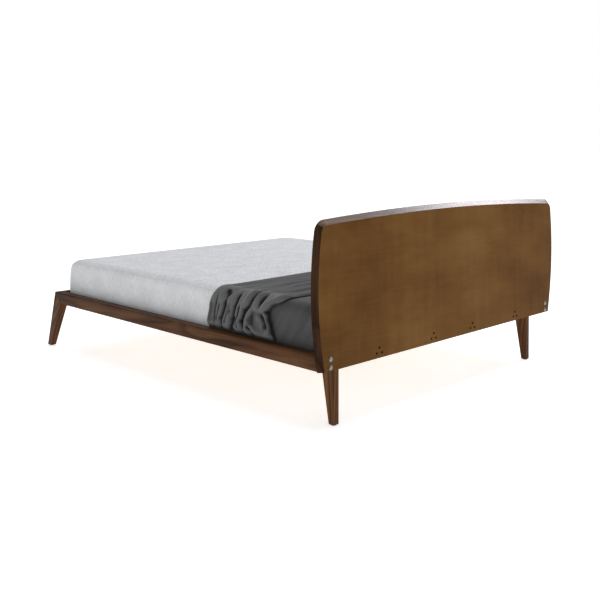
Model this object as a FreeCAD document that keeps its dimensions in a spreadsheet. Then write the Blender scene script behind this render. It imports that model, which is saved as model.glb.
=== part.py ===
"""Platform bed with an arched headboard, splayed foot legs, a slatted base, a mattress and bedding.

Millimetres, +Z up. The origin is on the floor under the middle of the bed. The headboard's back is
at +Y, the foot at -Y, and +X is on the right of a person who stands at the foot and faces the headboard.
"""
import FreeCAD, Part
import os
import Sketcher
from FreeCAD import Rotation, Vector

SIZES = {
    # overall places
    "head_y": 1171,
    "frame_half_width": 975,
    "rail_thickness": 50,
    "rail_bottom": 276,
    "rail_top": 342,
    "rail_round": 7,
    # headboard: its back outline, and how far the bevelled edge widens it towards the front
    "headboard_thickness": 23,
    "headboard_bevel": 23,
    "headboard_bottom": 270,
    "headboard_top": 930,
    "headboard_top_radius": 15840,
    "headboard_half_width": 987,
    "headboard_widest_z": 626,
    "headboard_side_radius": 1644,
    "headboard_corner_radius": 36,
    "headboard_joint_half_width": 964,
    "headboard_joint_z": 900,
    "edge_strip_width": 17,
    "bottom_strip_height": 8,
    "bottom_strip_half_width": 915,
    "back_skin_thickness": 4,
    # head cross rail and head legs
    "cross_rail_thickness": 32,
    "cross_rail_top": 336,
    "head_leg_outer": 833,
    "head_leg_thickness": 35,
    "head_leg_top_depth": 87,
    "head_leg_foot_depth": 32,
    "head_leg_top": 316,
    # foot rail and foot legs
    "foot_corner_y": -1083.5,
    "foot_mitre_y": -1018,
    "foot_rail_low_y": -1101.5,
    "foot_rail_inner_y": -1058.5,
    "foot_leg_toe_y": -1177,
    "foot_leg_heel_y": -1138,
    "foot_leg_thin": 14,
    "leg_round": 3,
    "glide_thickness": 4,
    "glide_radius": 13,
    # slatted base
    "ledger_width": 30,
    "ledger_top": 298,
    "ledger_head_y": 1056,
    "ledger_foot_y": -1006,
    "slat_count": 14,
    "slat_width": 70,
    "slat_thickness": 18,
    "slat_pitch": 150,
    "slat_first_y": 946,
    "slat_half_length": 922,
    "slat_screw_x": 908,
    "block_width": 45,
    "block_length": 45,
    # centre beam and its legs
    "beam_half_width": 30,
    "beam_bottom": 258,
    "beam_head_y": 1113,
    "beam_foot_y": -1055.5,
    "hanger_sheet": 2.5,
    "hanger_plate_half_width": 48,
    "hanger_plate_top": 330,
    "hanger_depth": 42,
    "centre_leg_width": 45,
    "centre_leg_bottom": 38,
    "centre_leg_head_y": 381,
    "centre_leg_foot_y": -319,
    "plate_thickness": 3,
    "plate_half_length": 42,
    "insert_radius": 7,
    "insert_length": 18,
    "stud_radius": 4,
    "stud_gap": 0.05,
    "stud_length": 58,
    "leveller_radius": 19,
    "leveller_height": 11,
    "leveller_clearance": 1,
    # fasteners
    "bracket_sheet": 3,
    "bracket_width": 30,
    "bracket_length": 90,
    "bolt_radius": 4,
    "bolt_x": 911,
    "bolt_low_z": 286,
    "bolt_high_z": 322,
    "bolt_head_radius": 9,
    "bolt_head_height": 5,
    "washer_radius": 10.5,
    "washer_thickness": 1.5,
    "screw_radius": 2,
    "screw_head_radius": 4,
    "black_head_radius": 5.5,
    "triad_inner_x": 169,
    "triad_outer_x": 584,
    "triad_half_spread": 18,
    "triad_low_z": 293.5,
    "triad_high_z": 318,
    # mattress and bedding
    "mattress_half_width": 912,
    "mattress_head_y": 1111,
    "mattress_foot_y": -1051,
    "mattress_bottom": 317,
    "mattress_top": 545,
    "mattress_corner": 45,
    "mattress_edge": 24,
    "sheet_half_width": 917,
    "sheet_top": 549.5,
    "sheet_foot_y": 717,
    "throw_half_width": 923,
    "throw_top": 556,
    "throw_head_y": 897,
    "throw_foot_y": 367,
    "bedding_thickness": 3,
    "throw_thickness": 5,
    "bedding_hem": 326,
}
SIDES = {"left": -1, "right": 1}

doc = FreeCAD.newDocument("platform_bed")
sizes = doc.addObject("Spreadsheet::Sheet", "Sizes")
for row, (alias, size) in enumerate(SIZES.items(), 1):
    sizes.set(f"A{row}", alias)
    sizes.set(f"B{row}", str(size))
    sizes.setAlias(f"B{row}", alias)
doc.recompute()

sub_parts = []


# ---------------------------------------------------------------------------------------------
# helpers: every size is a sum of aliases and numbers, such as "rail_top - rail_bottom"
# ---------------------------------------------------------------------------------------------

def number(words):
    """The value of a sum or difference of sizes."""
    total, sign = 0.0, 1
    for word in words.split():
        if word in ("+", "-"):
            sign = 1 if word == "+" else -1
        else:
            total += sign * (SIZES[word] if word in SIZES else float(word))
    return total


def formula(words):
    """The same sum as a FreeCAD expression that reads the sheet."""
    return " ".join(f"Sizes.{word}" if word in SIZES else word for word in words.split())


def mirrored(words, side):
    """The sum for the right-hand side, or its negative for the left."""
    if side > 0:
        return words
    swapped = {"+": "-", "-": "+"}
    terms = words.split()
    if terms[0] not in swapped:
        terms.insert(0, "+")
    return " ".join(swapped.get(term, term) for term in terms)


def keep(item, name):
    item.Label = name
    sub_parts.append(item)
    return item


def new_body(name):
    return doc.addObject("PartDesign::Body", name)


def new_sketch(body, name, plane, offset):
    """A sketch on one of the body's own origin planes, moved along the plane's normal."""
    sketch = body.newObject("Sketcher::SketchObject", name)
    support = next(p for p in body.Origin.OriginFeatures if p.Role == plane)
    sketch.AttachmentSupport = (support, [""])
    sketch.MapMode = "FlatFace"
    sketch.setExpression("AttachmentOffset.Base.z", formula(offset))
    return sketch


def fix_point(sketch, geometry, point, across, up):
    """Ties a point of the sketch to two sizes, measured from the sketch's origin."""
    for kind, words in (("DistanceX", across), ("DistanceY", up)):
        index = sketch.addConstraint(
            Sketcher.Constraint(kind, -1, 1, geometry, point, number(words))
        )
        sketch.setExpression(f"Constraints[{index}]", formula(words))


def polygon(sketch, corners):
    """A closed outline of straight edges through corners, each a pair of sums of sizes."""
    points = [Vector(number(across), number(up), 0) for across, up in corners]
    first = sketch.GeometryCount
    for here, there in zip(points, points[1:] + points[:1]):
        sketch.addGeometry(Part.LineSegment(here, there), False)
    for place, (across, up) in enumerate(corners):
        before = first + (place - 1) % len(corners)
        sketch.addConstraint(Sketcher.Constraint("Coincident", before, 2, first + place, 1))
        fix_point(sketch, first + place, 1, across, up)


def circle(sketch, across, up, radius):
    centre = Vector(number(across), number(up), 0)
    index = sketch.addGeometry(Part.Circle(centre, Vector(0, 0, 1), number(radius)), False)
    fix_point(sketch, index, 3, across, up)
    size = sketch.addConstraint(Sketcher.Constraint("Radius", index, number(radius)))
    sketch.setExpression(f"Constraints[{size}]", formula(radius))


def pad(body, sketch, length, name="Pad"):
    feature = body.newObject("PartDesign::Pad", f"{body.Name}_{name}")
    feature.Profile = sketch
    feature.setExpression("Length", formula(length))
    return feature


def pocket(body, sketch, length, name="Pocket"):
    """Cuts the sketch's outline away. The pocket that removes material is the one kept."""
    doc.recompute()
    before = body.Shape.Volume
    feature = body.newObject("PartDesign::Pocket", f"{body.Name}_{name}")
    feature.Profile = sketch
    feature.setExpression("Length", formula(length))
    doc.recompute()
    if not feature.Shape.Volume < before - 1e-3:
        feature.Reversed = True
        doc.recompute()
    if not feature.Shape.Volume < before - 1e-3:
        raise RuntimeError(f"{feature.Name} cuts nothing")
    return feature


def soften(body, radius, chosen, name="Fillet"):
    """Rounds the edges whose two ends chosen() accepts."""
    doc.recompute()
    base = body.Tip
    picked = []
    for place, edge in enumerate(base.Shape.Edges, 1):
        if chosen([vertex.Point for vertex in edge.Vertexes]):
            picked.append(f"Edge{place}")
    if not picked:
        raise RuntimeError(f"{body.Name}: no edge to round")
    feature = body.newObject("PartDesign::Fillet", f"{body.Name}_{name}")
    feature.Base = (base, picked)
    feature.setExpression("Radius", formula(radius))
    doc.recompute()
    return feature


def prism(name, plane, offset, corners, length):
    """A body that is one padded polygon."""
    body = new_body(name)
    sketch = new_sketch(body, f"{name}_outline", plane, offset)
    polygon(sketch, corners)
    pad(body, sketch, length)
    return body


def box(name, low, high):
    """A Part::Box between two corners, each three sums of sizes."""
    item = doc.addObject("Part::Box", name)
    for side, axis, first, last in zip(("Length", "Width", "Height"), "xyz", low, high):
        item.setExpression(side, f"({formula(last)}) - ({formula(first)})")
        item.setExpression(f"Placement.Base.{axis}", formula(first))
    return item


def near(value, words):
    return abs(value - number(words)) < 0.01


def turned_solid(profile, place, direction):
    """A solid of revolution: profile is (along, radius) pairs, turned about direction at place."""
    points = [Vector(radius, 0, along) for along, radius in profile]
    start, end = Vector(0, 0, profile[0][0]), Vector(0, 0, profile[-1][0])
    wire = Part.makePolygon([start, *points, end, start])
    solid = Part.Face(wire).revolve(Vector(0, 0, 0), Vector(0, 0, 1), 360)
    turn = Rotation(Vector(0, 0, 1), direction)
    solid.Placement = FreeCAD.Placement(place, turn)
    return solid


def fasteners(name, profile, places):
    """One node for a set of identical fasteners: places holds (position, direction) pairs."""
    item = doc.addObject("Part::Feature", name)
    solids = [turned_solid(profile, Vector(*place), Vector(*way)) for place, way in places]
    item.Shape = Part.makeCompound(solids)
    return keep(item, name)


# ---------------------------------------------------------------------------------------------
# headboard
# ---------------------------------------------------------------------------------------------

def headboard_outline(sketch, grow, bottom):
    """The bowed and arched outline, grown outwards by a sum of sizes, standing on bottom."""
    side_radius = number(f"headboard_side_radius {grow}")
    top_radius = number(f"headboard_top_radius {grow}")
    corner_radius = number(f"headboard_corner_radius {grow}")
    side_centre_x = number("headboard_half_width - headboard_side_radius")
    side_centre = Vector(side_centre_x, SIZES["headboard_widest_z"], 0)
    top_centre = Vector(0, number("headboard_top - headboard_top_radius"), 0)
    # the corner arc's centre is one corner radius inside both the side arc and the top arc
    to_side, to_top = side_radius - corner_radius, top_radius - corner_radius
    apart = (side_centre - top_centre).Length
    along = (to_top ** 2 - to_side ** 2 + apart ** 2) / (2 * apart)
    across = (to_top ** 2 - along ** 2) ** 0.5
    way = (side_centre - top_centre).normalize()
    corner_centre = top_centre + way * along + Vector(way.y, -way.x, 0) * across
    side_end = side_centre + (corner_centre - side_centre).normalize() * side_radius
    top_end = top_centre + (corner_centre - top_centre).normalize() * top_radius
    foot_z = number(bottom)
    rise = foot_z - side_centre.y
    foot = Vector(side_centre.x + (side_radius ** 2 - rise ** 2) ** 0.5, foot_z, 0)

    def flip(point):
        return Vector(-point.x, point.y, 0)

    def arc(centre, radius, start, end):
        base = Part.Circle(centre, Vector(0, 0, 1), radius)
        return Part.ArcOfCircle(base, base.parameter(start), base.parameter(end))

    line = sketch.addGeometry(Part.LineSegment(flip(foot), foot), False)
    right = sketch.addGeometry(arc(side_centre, side_radius, foot, side_end), False)
    right_corner = sketch.addGeometry(arc(corner_centre, corner_radius, side_end, top_end), False)
    top = sketch.addGeometry(arc(top_centre, top_radius, top_end, flip(top_end)), False)
    left_corner = sketch.addGeometry(
        arc(flip(corner_centre), corner_radius, flip(top_end), flip(side_end)), False
    )
    left = sketch.addGeometry(arc(flip(side_centre), side_radius, flip(side_end), flip(foot)), False)
    for before, after, kind in (
        (line, right, "Coincident"),
        (right, right_corner, "Tangent"),
        (right_corner, top, "Tangent"),
        (top, left_corner, "Tangent"),
        (left_corner, left, "Tangent"),
        (left, line, "Coincident"),
    ):
        sketch.addConstraint(Sketcher.Constraint(kind, before, 2, after, 1))
    sketch.addConstraint(Sketcher.Constraint("Horizontal", line))
    index = sketch.addConstraint(Sketcher.Constraint("DistanceY", -1, 1, line, 1, foot_z))
    sketch.setExpression(f"Constraints[{index}]", formula(bottom))
    widest = "headboard_widest_z"
    fix_point(sketch, right, 3, "headboard_half_width - headboard_side_radius", widest)
    fix_point(sketch, left, 3, "headboard_side_radius - headboard_half_width", widest)
    fix_point(sketch, top, 3, "0", "headboard_top - headboard_top_radius")
    for geometry, size in (
        (right, "headboard_side_radius"),
        (left, "headboard_side_radius"),
        (top, "headboard_top_radius"),
        (right_corner, "headboard_corner_radius"),
        (left_corner, "headboard_corner_radius"),
    ):
        words = f"{size} {grow}"
        index = sketch.addConstraint(Sketcher.Constraint("Radius", geometry, number(words)))
        sketch.setExpression(f"Constraints[{index}]", formula(words))


def upright_sketch(body, name, y):
    """A sketch in an XZ plane at y, with +X across and +Z up; that plane's normal is -Y."""
    return new_sketch(body, name, "XZ_Plane", mirrored(y, -1))


BOLT_PLACES = [(side * SIZES["bolt_x"], SIZES[z]) for side in (-1, 1) for z in ("bolt_low_z", "bolt_high_z")]


def triad_corners():
    """The (across, up) sums of the twelve screws along the headboard's lower edge."""
    corners = []
    for centre in ("triad_outer_x", "triad_inner_x"):
        for side in (-1, 1):
            corners.append((mirrored(centre, side), "triad_high_z"))
            for spread in ("+ triad_half_spread", "- triad_half_spread"):
                corners.append((f"{mirrored(centre, side)} {spread}", "triad_low_z"))
    return corners


def drill_headboard(body, depth, y):
    """The bolt holes and the screw holes, drilled forwards from the back face at y."""
    holes = upright_sketch(body, f"{body.Name}_holes", y)
    for side in (-1, 1):
        for height in ("bolt_low_z", "bolt_high_z"):
            circle(holes, mirrored("bolt_x", side), height, "bolt_radius")
    for across, up in triad_corners():
        circle(holes, across, up, "screw_radius")
    pocket(body, holes, depth, "Holes")


def headboard():
    front_y = "head_y - headboard_thickness"
    skin_y = "head_y - back_skin_thickness"

    blank = new_body("headboard_blank")
    back = upright_sketch(blank, "blank_back", "head_y")
    headboard_outline(back, "+ 0", "headboard_bottom")
    front = upright_sketch(blank, "blank_front", front_y)
    headboard_outline(front, "+ headboard_bevel", "headboard_bottom")
    loft = blank.newObject("PartDesign::AdditiveLoft", "blank_loft")
    loft.Profile = back
    loft.Sections = [front]
    loft.Ruled = True

    panel = new_body("headboard_panel")
    face = upright_sketch(panel, "panel_outline", skin_y)
    panel_bottom = "headboard_bottom + bottom_strip_height"
    headboard_outline(face, "- edge_strip_width", panel_bottom)
    pad(panel, face, "headboard_thickness - back_skin_thickness")
    doc.recompute()
    drill_headboard(panel, "headboard_thickness", skin_y)
    keep(panel, "headboard_panel")

    skin = new_body("headboard_back_skin")
    face = upright_sketch(skin, "skin_outline", "head_y")
    headboard_outline(face, "- 0.5", "headboard_bottom")
    pad(skin, face, "back_skin_thickness")
    doc.recompute()
    drill_headboard(skin, "back_skin_thickness", "head_y")
    keep(skin, "headboard_back_skin")

    # the solid edge strips are what the panel and the skin leave of the bevelled blank
    solid_panel = new_body("solid_panel")
    face = upright_sketch(solid_panel, "solid_panel_outline", skin_y)
    headboard_outline(face, "- edge_strip_width", panel_bottom)
    pad(solid_panel, face, "headboard_thickness - back_skin_thickness")
    solid_skin = new_body("solid_skin")
    face = upright_sketch(solid_skin, "solid_skin_outline", "head_y")
    headboard_outline(face, "- 0.5", "headboard_bottom")
    pad(solid_skin, face, "back_skin_thickness")
    inner = doc.addObject("Part::Fuse", "headboard_inner")
    inner.Base, inner.Tool = solid_panel, solid_skin
    ring = doc.addObject("Part::Cut", "headboard_ring")
    ring.Base, ring.Tool = blank, inner

    out, inn = "+ 150", "- 60"
    joint_x, joint_z = "headboard_joint_half_width", "headboard_joint_z"
    strip_x, strip_z = "bottom_strip_half_width", "headboard_bottom + bottom_strip_height"
    low_z = "headboard_bottom - 50"
    regions = {
        "headboard_top_edge": [
            (f"- {joint_x} - 150", f"{joint_z} {out}"),
            (f"{joint_x} {out}", f"{joint_z} {out}"),
            (f"{joint_x} {inn}", f"{joint_z} {inn}"),
            (f"- {joint_x} + 60", f"{joint_z} {inn}"),
        ],
        "headboard_bottom_edge": [
            (f"- {strip_x}", strip_z),
            (f"- {strip_x}", low_z),
            (strip_x, low_z),
            (strip_x, strip_z),
        ],
    }
    for word, side in SIDES.items():
        regions[f"headboard_{word}_edge"] = [
            (mirrored(f"{joint_x} {out}", side), f"{joint_z} {out}"),
            (mirrored(f"{joint_x} {inn}", side), f"{joint_z} {inn}"),
            (mirrored(f"{joint_x} {inn}", side), strip_z),
            (mirrored(strip_x, side), strip_z),
            (mirrored(strip_x, side), low_z),
            (mirrored(f"{joint_x} {out}", side), low_z),
        ]
    for name, corners in regions.items():
        region = prism(
            f"{name}_region", "XZ_Plane", "- head_y - 10", corners, "headboard_thickness + 20"
        )
        strip = doc.addObject("Part::Common", name)
        strip.Base, strip.Tool = ring, region
        keep(strip, name)


# ---------------------------------------------------------------------------------------------
# rails and legs
# ---------------------------------------------------------------------------------------------

def side_rail(word, side):
    """A rail that butts the headboard and is mitred into its foot leg."""
    start = "frame_half_width - rail_thickness" if side > 0 else "- frame_half_width"
    front = "head_y - headboard_thickness"
    body = prism(
        f"{word}_side_rail",
        "YZ_Plane",
        start,
        [
            (front, "rail_bottom"),
            (front, "rail_top"),
            ("foot_corner_y", "rail_top"),
            ("foot_mitre_y", "rail_bottom"),
        ],
        "rail_thickness",
    )
    outer = side * SIZES["frame_half_width"]
    soften(
        body,
        "rail_round",
        lambda ends: all(near(e.z, "rail_top") and abs(e.x - outer) < 0.01 for e in ends),
    )
    keep(body, f"{word}_side_rail")


def foot_leg(word, side):
    """A splayed, tapered leg. Its outer face is flush with the rail's; its inner face leans."""
    start = "frame_half_width - rail_thickness" if side > 0 else "- frame_half_width"
    body = prism(
        f"{word}_foot_leg",
        "YZ_Plane",
        start,
        [
            ("foot_corner_y", "rail_top"),
            ("foot_mitre_y", "rail_bottom"),
            ("foot_leg_heel_y", "glide_thickness"),
            ("foot_leg_toe_y", "glide_thickness"),
        ],
        "rail_thickness",
    )
    inner = "frame_half_width - rail_thickness"
    wedge = upright_sketch(body, f"{word}_leg_taper", "foot_mitre_y + 50")
    polygon(
        wedge,
        [
            (mirrored(f"{inner} - 5", side), "rail_bottom"),
            (mirrored(inner, side), "rail_bottom"),
            (mirrored(f"{inner} + foot_leg_thin", side), "glide_thickness"),
            (mirrored(f"{inner} + foot_leg_thin", side), "glide_thickness - 5"),
            (mirrored(f"{inner} - 5", side), "glide_thickness - 5"),
        ],
    )
    pocket(body, wedge, "foot_mitre_y - foot_leg_toe_y + 100", "Taper")

    soften(body, "leg_round", lambda ends: abs(ends[0].z - ends[-1].z) > 150)
    keep(body, f"{word}_foot_leg")


def head_leg(word, side):
    """A tapered board that stands inside the frame against the head cross rail."""
    back = "head_y - headboard_thickness - cross_rail_thickness"
    start = "head_leg_outer - head_leg_thickness" if side > 0 else "- head_leg_outer"
    body = prism(
        f"{word}_head_leg",
        "YZ_Plane",
        start,
        [
            (back, "glide_thickness"),
            (back, "head_leg_top"),
            (f"{back} - head_leg_top_depth", "head_leg_top"),
            (f"{back} - head_leg_foot_depth", "glide_thickness"),
        ],
        "head_leg_thickness",
    )
    doc.recompute()
    holes = upright_sketch(body, f"{word}_head_leg_holes", back)
    for height in LEG_BOLT_HEIGHTS:
        circle(holes, mirrored("head_leg_outer - 17.5", side), height, "screw_radius + 1")
    pocket(body, holes, "50", "Holes")
    soften(body, "leg_round", lambda ends: abs(ends[0].z - ends[-1].z) > 150)
    keep(body, f"{word}_head_leg")


LEG_BOLT_HEIGHTS = ("rail_bottom + 11", "rail_bottom + 29")


def head_cross_rail():
    """Ties the side rails together behind the headboard; notched for the two angle brackets."""
    back = "head_y - headboard_thickness"
    body = prism(
        "head_cross_rail",
        "XZ_Plane",
        mirrored(back, -1),
        [
            ("- frame_half_width + rail_thickness + bracket_sheet", "rail_bottom"),
            ("frame_half_width - rail_thickness - bracket_sheet", "rail_bottom"),
            ("frame_half_width - rail_thickness - bracket_sheet", "cross_rail_top"),
            ("- frame_half_width + rail_thickness + bracket_sheet", "cross_rail_top"),
        ],
        "cross_rail_thickness",
    )
    doc.recompute()
    notches = upright_sketch(body, "cross_rail_notches", back)
    inner = "frame_half_width - rail_thickness"
    for side in (-1, 1):
        polygon(
            notches,
            [
                (mirrored(f"{inner} - bracket_width", side), "rail_bottom - 1"),
                (mirrored(f"{inner} + 1", side), "rail_bottom - 1"),
                (mirrored(f"{inner} + 1", side), "cross_rail_top + 1"),
                (mirrored(f"{inner} - bracket_width", side), "cross_rail_top + 1"),
            ],
        )
    pocket(body, notches, "bracket_sheet", "Notches")
    holes = upright_sketch(body, "cross_rail_holes", back)
    for side in (-1, 1):
        for height in ("bolt_low_z", "bolt_high_z"):
            circle(holes, mirrored("bolt_x", side), height, "bolt_radius")
        for height in LEG_BOLT_HEIGHTS:
            circle(holes, mirrored("head_leg_outer - 17.5", side), height, "screw_radius + 1")
    for across, up in triad_corners():
        circle(holes, across, up, "screw_radius")
    pocket(body, holes, "cross_rail_thickness + 1", "Holes")
    keep(body, "head_cross_rail")


def foot_rail():
    """Its outer face leans with the foot legs, and its inner face is upright."""
    inner = "frame_half_width - rail_thickness"
    body = prism(
        "foot_rail",
        "YZ_Plane",
        mirrored(inner, -1),
        [
            ("foot_corner_y", "rail_top"),
            ("foot_rail_low_y", "rail_bottom"),
            ("foot_rail_inner_y", "rail_bottom"),
            ("foot_rail_inner_y", "rail_top"),
        ],
        f"{inner} + {inner}",
    )
    soften(
        body,
        "leg_round",
        lambda ends: all(near(e.z, "rail_top") and near(e.y, "foot_corner_y") for e in ends),
    )
    keep(body, "foot_rail")


def leg_places():
    """The middle of each of the four outer legs' feet."""
    back = number("head_y - headboard_thickness - cross_rail_thickness")
    head_y = back - SIZES["head_leg_foot_depth"] / 2
    head_x = SIZES["head_leg_outer"] - SIZES["head_leg_thickness"] / 2
    foot_y = (SIZES["foot_leg_toe_y"] + SIZES["foot_leg_heel_y"]) / 2
    foot_x = number("frame_half_width - rail_thickness + foot_leg_thin")
    foot_x = (foot_x + SIZES["frame_half_width"]) / 2
    return [(side * x, y) for side in (-1, 1) for x, y in ((head_x, head_y), (foot_x, foot_y))]


def glides():
    radius, height = SIZES["glide_radius"], SIZES["glide_thickness"]
    profile = [(0, radius - 1), (1, radius), (height, radius)]
    fasteners("leg_glides", profile, [((x, y, 0), (0, 0, 1)) for x, y in leg_places()])


# ---------------------------------------------------------------------------------------------
# slatted base
# ---------------------------------------------------------------------------------------------

def slat_lines():
    """The Y of each slat's middle, from the head to the foot."""
    first = SIZES["slat_first_y"] + SIZES["slat_width"] / 2
    return [first - place * SIZES["slat_pitch"] for place in range(SIZES["slat_count"])]


def ledger(word, side):
    inner = "frame_half_width - rail_thickness"
    start = f"{inner} - ledger_width" if side > 0 else "- frame_half_width + rail_thickness"
    body = prism(
        f"{word}_slat_ledger",
        "XY_Plane",
        "rail_bottom",
        [
            (start, "ledger_foot_y"),
            (f"{start} + ledger_width", "ledger_foot_y"),
            (f"{start} + ledger_width", "ledger_head_y"),
            (start, "ledger_head_y"),
        ],
        "ledger_top - rail_bottom",
    )
    doc.recompute()
    holes = new_sketch(body, f"{word}_ledger_hole", "XY_Plane", "ledger_top")
    last = "slat_first_y + 35" + " - slat_pitch" * (SIZES["slat_count"] - 1)
    circle(holes, mirrored("slat_screw_x", side), last, "screw_radius")
    drilled = pocket(body, holes, "ledger_top - rail_bottom", "Holes")
    row = body.newObject("PartDesign::LinearPattern", f"{word}_ledger_row")
    row.Originals = [drilled]
    axis = next(a for a in body.Origin.OriginFeatures if a.Role == "Y_Axis")
    row.Direction = (axis, [""])
    row.setExpression("Length", formula("slat_pitch") + f" * {SIZES['slat_count'] - 1}")
    row.setExpression("Occurrences", "Sizes.slat_count")
    body.Tip = row
    doc.recompute()
    keep(body, f"{word}_slat_ledger")


def slats():
    for place in range(SIZES["slat_count"]):
        low_y = "slat_first_y" + " - slat_pitch" * place
        name = f"slat_{place + 1:02d}"
        body = prism(
            name,
            "XY_Plane",
            "ledger_top",
            [
                ("- slat_half_length", low_y),
                ("slat_half_length", low_y),
                ("slat_half_length", f"{low_y} + slat_width"),
                ("- slat_half_length", f"{low_y} + slat_width"),
            ],
            "slat_thickness",
        )
        doc.recompute()
        holes = new_sketch(body, f"{name}_holes", "XY_Plane", "ledger_top + slat_thickness")
        for side in (-1, 1):
            circle(holes, mirrored("slat_screw_x", side), f"{low_y} + 35", "screw_radius")
        pocket(body, holes, "slat_thickness", "Holes")
        seats = new_sketch(body, f"{name}_seats", "XY_Plane", "ledger_top + slat_thickness")
        for side in (-1, 1):
            circle(seats, mirrored("slat_screw_x", side), f"{low_y} + 35", "screw_head_radius")
        pocket(body, seats, "2", "Seats")
        soften(body, "2", lambda ends: all(near(e.z, "ledger_top + slat_thickness") for e in ends)
               and abs(ends[0].x - ends[-1].x) > 100)
        keep(body, name)
    top = number("ledger_top + slat_thickness")
    radius, head = SIZES["screw_radius"], SIZES["screw_head_radius"]
    length = top - SIZES["rail_bottom"] - 4
    profile = [(0, head - 0.1), (2, head - 0.1), (2, radius), (length - 3, radius), (length, 0.4)]
    places = []
    for y in slat_lines():
        for side in (-1, 1):
            places.append(((side * SIZES["slat_screw_x"], y, top), (0, 0, -1)))
    fasteners("slat_screws", profile, places)


def corner_block(word, side):
    inner = "frame_half_width - rail_thickness"
    near_x, far_x = f"{inner} - block_width", inner
    low_x, high_x = (near_x, far_x) if side > 0 else (mirrored(far_x, -1), mirrored(near_x, -1))
    block = box(
        f"{word}_block_blank",
        (low_x, "foot_rail_inner_y", "rail_bottom"),
        (high_x, "foot_rail_inner_y + block_length", "head_leg_top"),
    )
    hole = doc.addObject("Part::Cylinder", f"{word}_block_hole")
    hole.setExpression("Radius", formula("screw_radius + 1"))
    hole.setExpression("Height", formula("block_length"))
    hole.Placement.Rotation = Rotation(Vector(1, 0, 0), -90)
    hole.setExpression("Placement.Base.x", formula(mirrored(f"{inner} - 22.5", side)))
    hole.setExpression("Placement.Base.y", formula("foot_rail_inner_y"))
    hole.setExpression("Placement.Base.z", formula("rail_bottom + 20"))
    drilled = doc.addObject("Part::Cut", f"{word}_corner_block")
    drilled.Base, drilled.Tool = block, hole
    keep(drilled, f"{word}_corner_block")


def block_screws():
    """One screw through each corner block, its head on the block and its tip at the foot rail."""
    radius, head = SIZES["screw_radius"] + 1, SIZES["screw_head_radius"] + 2
    profile = [(-4, head - 2), (-1, head), (0, head), (0, radius), (SIZES["block_length"], radius)]
    x = number("frame_half_width - rail_thickness - 22.5")
    y = number("foot_rail_inner_y + block_length")
    z = number("rail_bottom + 20")
    fasteners("corner_block_screws", profile, [((side * x, y, z), (0, -1, 0)) for side in (-1, 1)])


# ---------------------------------------------------------------------------------------------
# centre beam, its hangers and its legs
# ---------------------------------------------------------------------------------------------

def centre_beam():
    beam = box(
        "centre_beam",
        ("- beam_half_width", "beam_foot_y", "beam_bottom"),
        ("beam_half_width", "beam_head_y", "ledger_top"),
    )
    keep(beam, "centre_beam")


def beam_hanger(name, wall_y, side):
    """A folded sheet cradle: a plate on the rail, and a floor and two cheeks round the beam's end.

    wall_y is the rail's inner face, and side is -1 where the beam leaves it towards -Y.
    """
    sheet = "hanger_sheet"
    plate_y = f"{wall_y} {'+' if side > 0 else '-'} {sheet}"
    end_y = f"{wall_y} {'+' if side > 0 else '-'} hanger_depth"

    def between(first, second):
        return (first, second) if number(first) < number(second) else (second, first)

    low_y, high_y = between(wall_y, plate_y)
    plate = box(
        f"{name}_plate",
        ("- hanger_plate_half_width", low_y, f"beam_bottom - {sheet}"),
        ("hanger_plate_half_width", high_y, "hanger_plate_top"),
    )
    low_y, high_y = between(plate_y, end_y)
    outer = box(
        f"{name}_outer",
        (f"- beam_half_width - {sheet} - 0.2", low_y, f"beam_bottom - {sheet}"),
        (f"beam_half_width + {sheet} + 0.2", high_y, "ledger_top - 6"),
    )
    hollow = box(
        f"{name}_hollow",
        ("- beam_half_width - 0.2", low_y, "beam_bottom"),
        ("beam_half_width + 0.2", high_y, "ledger_top"),
    )
    cradle = doc.addObject("Part::Cut", f"{name}_cradle")
    cradle.Base, cradle.Tool = outer, hollow
    joined = doc.addObject("Part::Fuse", f"{name}_joined")
    joined.Base, joined.Tool = plate, cradle
    holes = []
    for across in ("hanger_plate_half_width - 9", "- hanger_plate_half_width + 9"):
        for up in HANGER_SCREW_HEIGHTS:
            hole = doc.addObject("Part::Cylinder", f"{name}_hole_{len(holes)}")
            hole.setExpression("Radius", formula("screw_radius"))
            hole.Height = 20
            hole.Placement.Rotation = Rotation(Vector(1, 0, 0), -90)
            hole.setExpression("Placement.Base.x", formula(across))
            hole.setExpression("Placement.Base.y", formula(f"{wall_y} - 10"))
            hole.setExpression("Placement.Base.z", formula(up))
            holes.append(hole)
    drills = doc.addObject("Part::MultiFuse", f"{name}_drills")
    drills.Shapes = holes
    hanger = doc.addObject("Part::Cut", name)
    hanger.Base, hanger.Tool = joined, drills
    keep(hanger, name)


HANGER_SCREW_HEIGHTS = ("rail_bottom + 12", "hanger_plate_top - 10")


def hanger_screws():
    """Pan-head screws that hold the two hangers; their tips stop short in the hanger's plate."""
    radius, head = SIZES["screw_radius"], SIZES["screw_head_radius"]
    sheet = SIZES["hanger_sheet"]
    profile = [(-2.5, head - 1.5), (-1, head), (0, head), (0, radius), (sheet, radius)]
    x = number("hanger_plate_half_width - 9")
    head_face = number("head_y - headboard_thickness - cross_rail_thickness - hanger_sheet")
    foot_face = number("foot_rail_inner_y + hanger_sheet")
    places = []
    for side in (-1, 1):
        for words in HANGER_SCREW_HEIGHTS:
            places.append(((side * x, head_face, number(words)), (0, 1, 0)))
            places.append(((side * x, foot_face, number(words)), (0, -1, 0)))
    fasteners("hanger_screws", profile, places)


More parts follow.
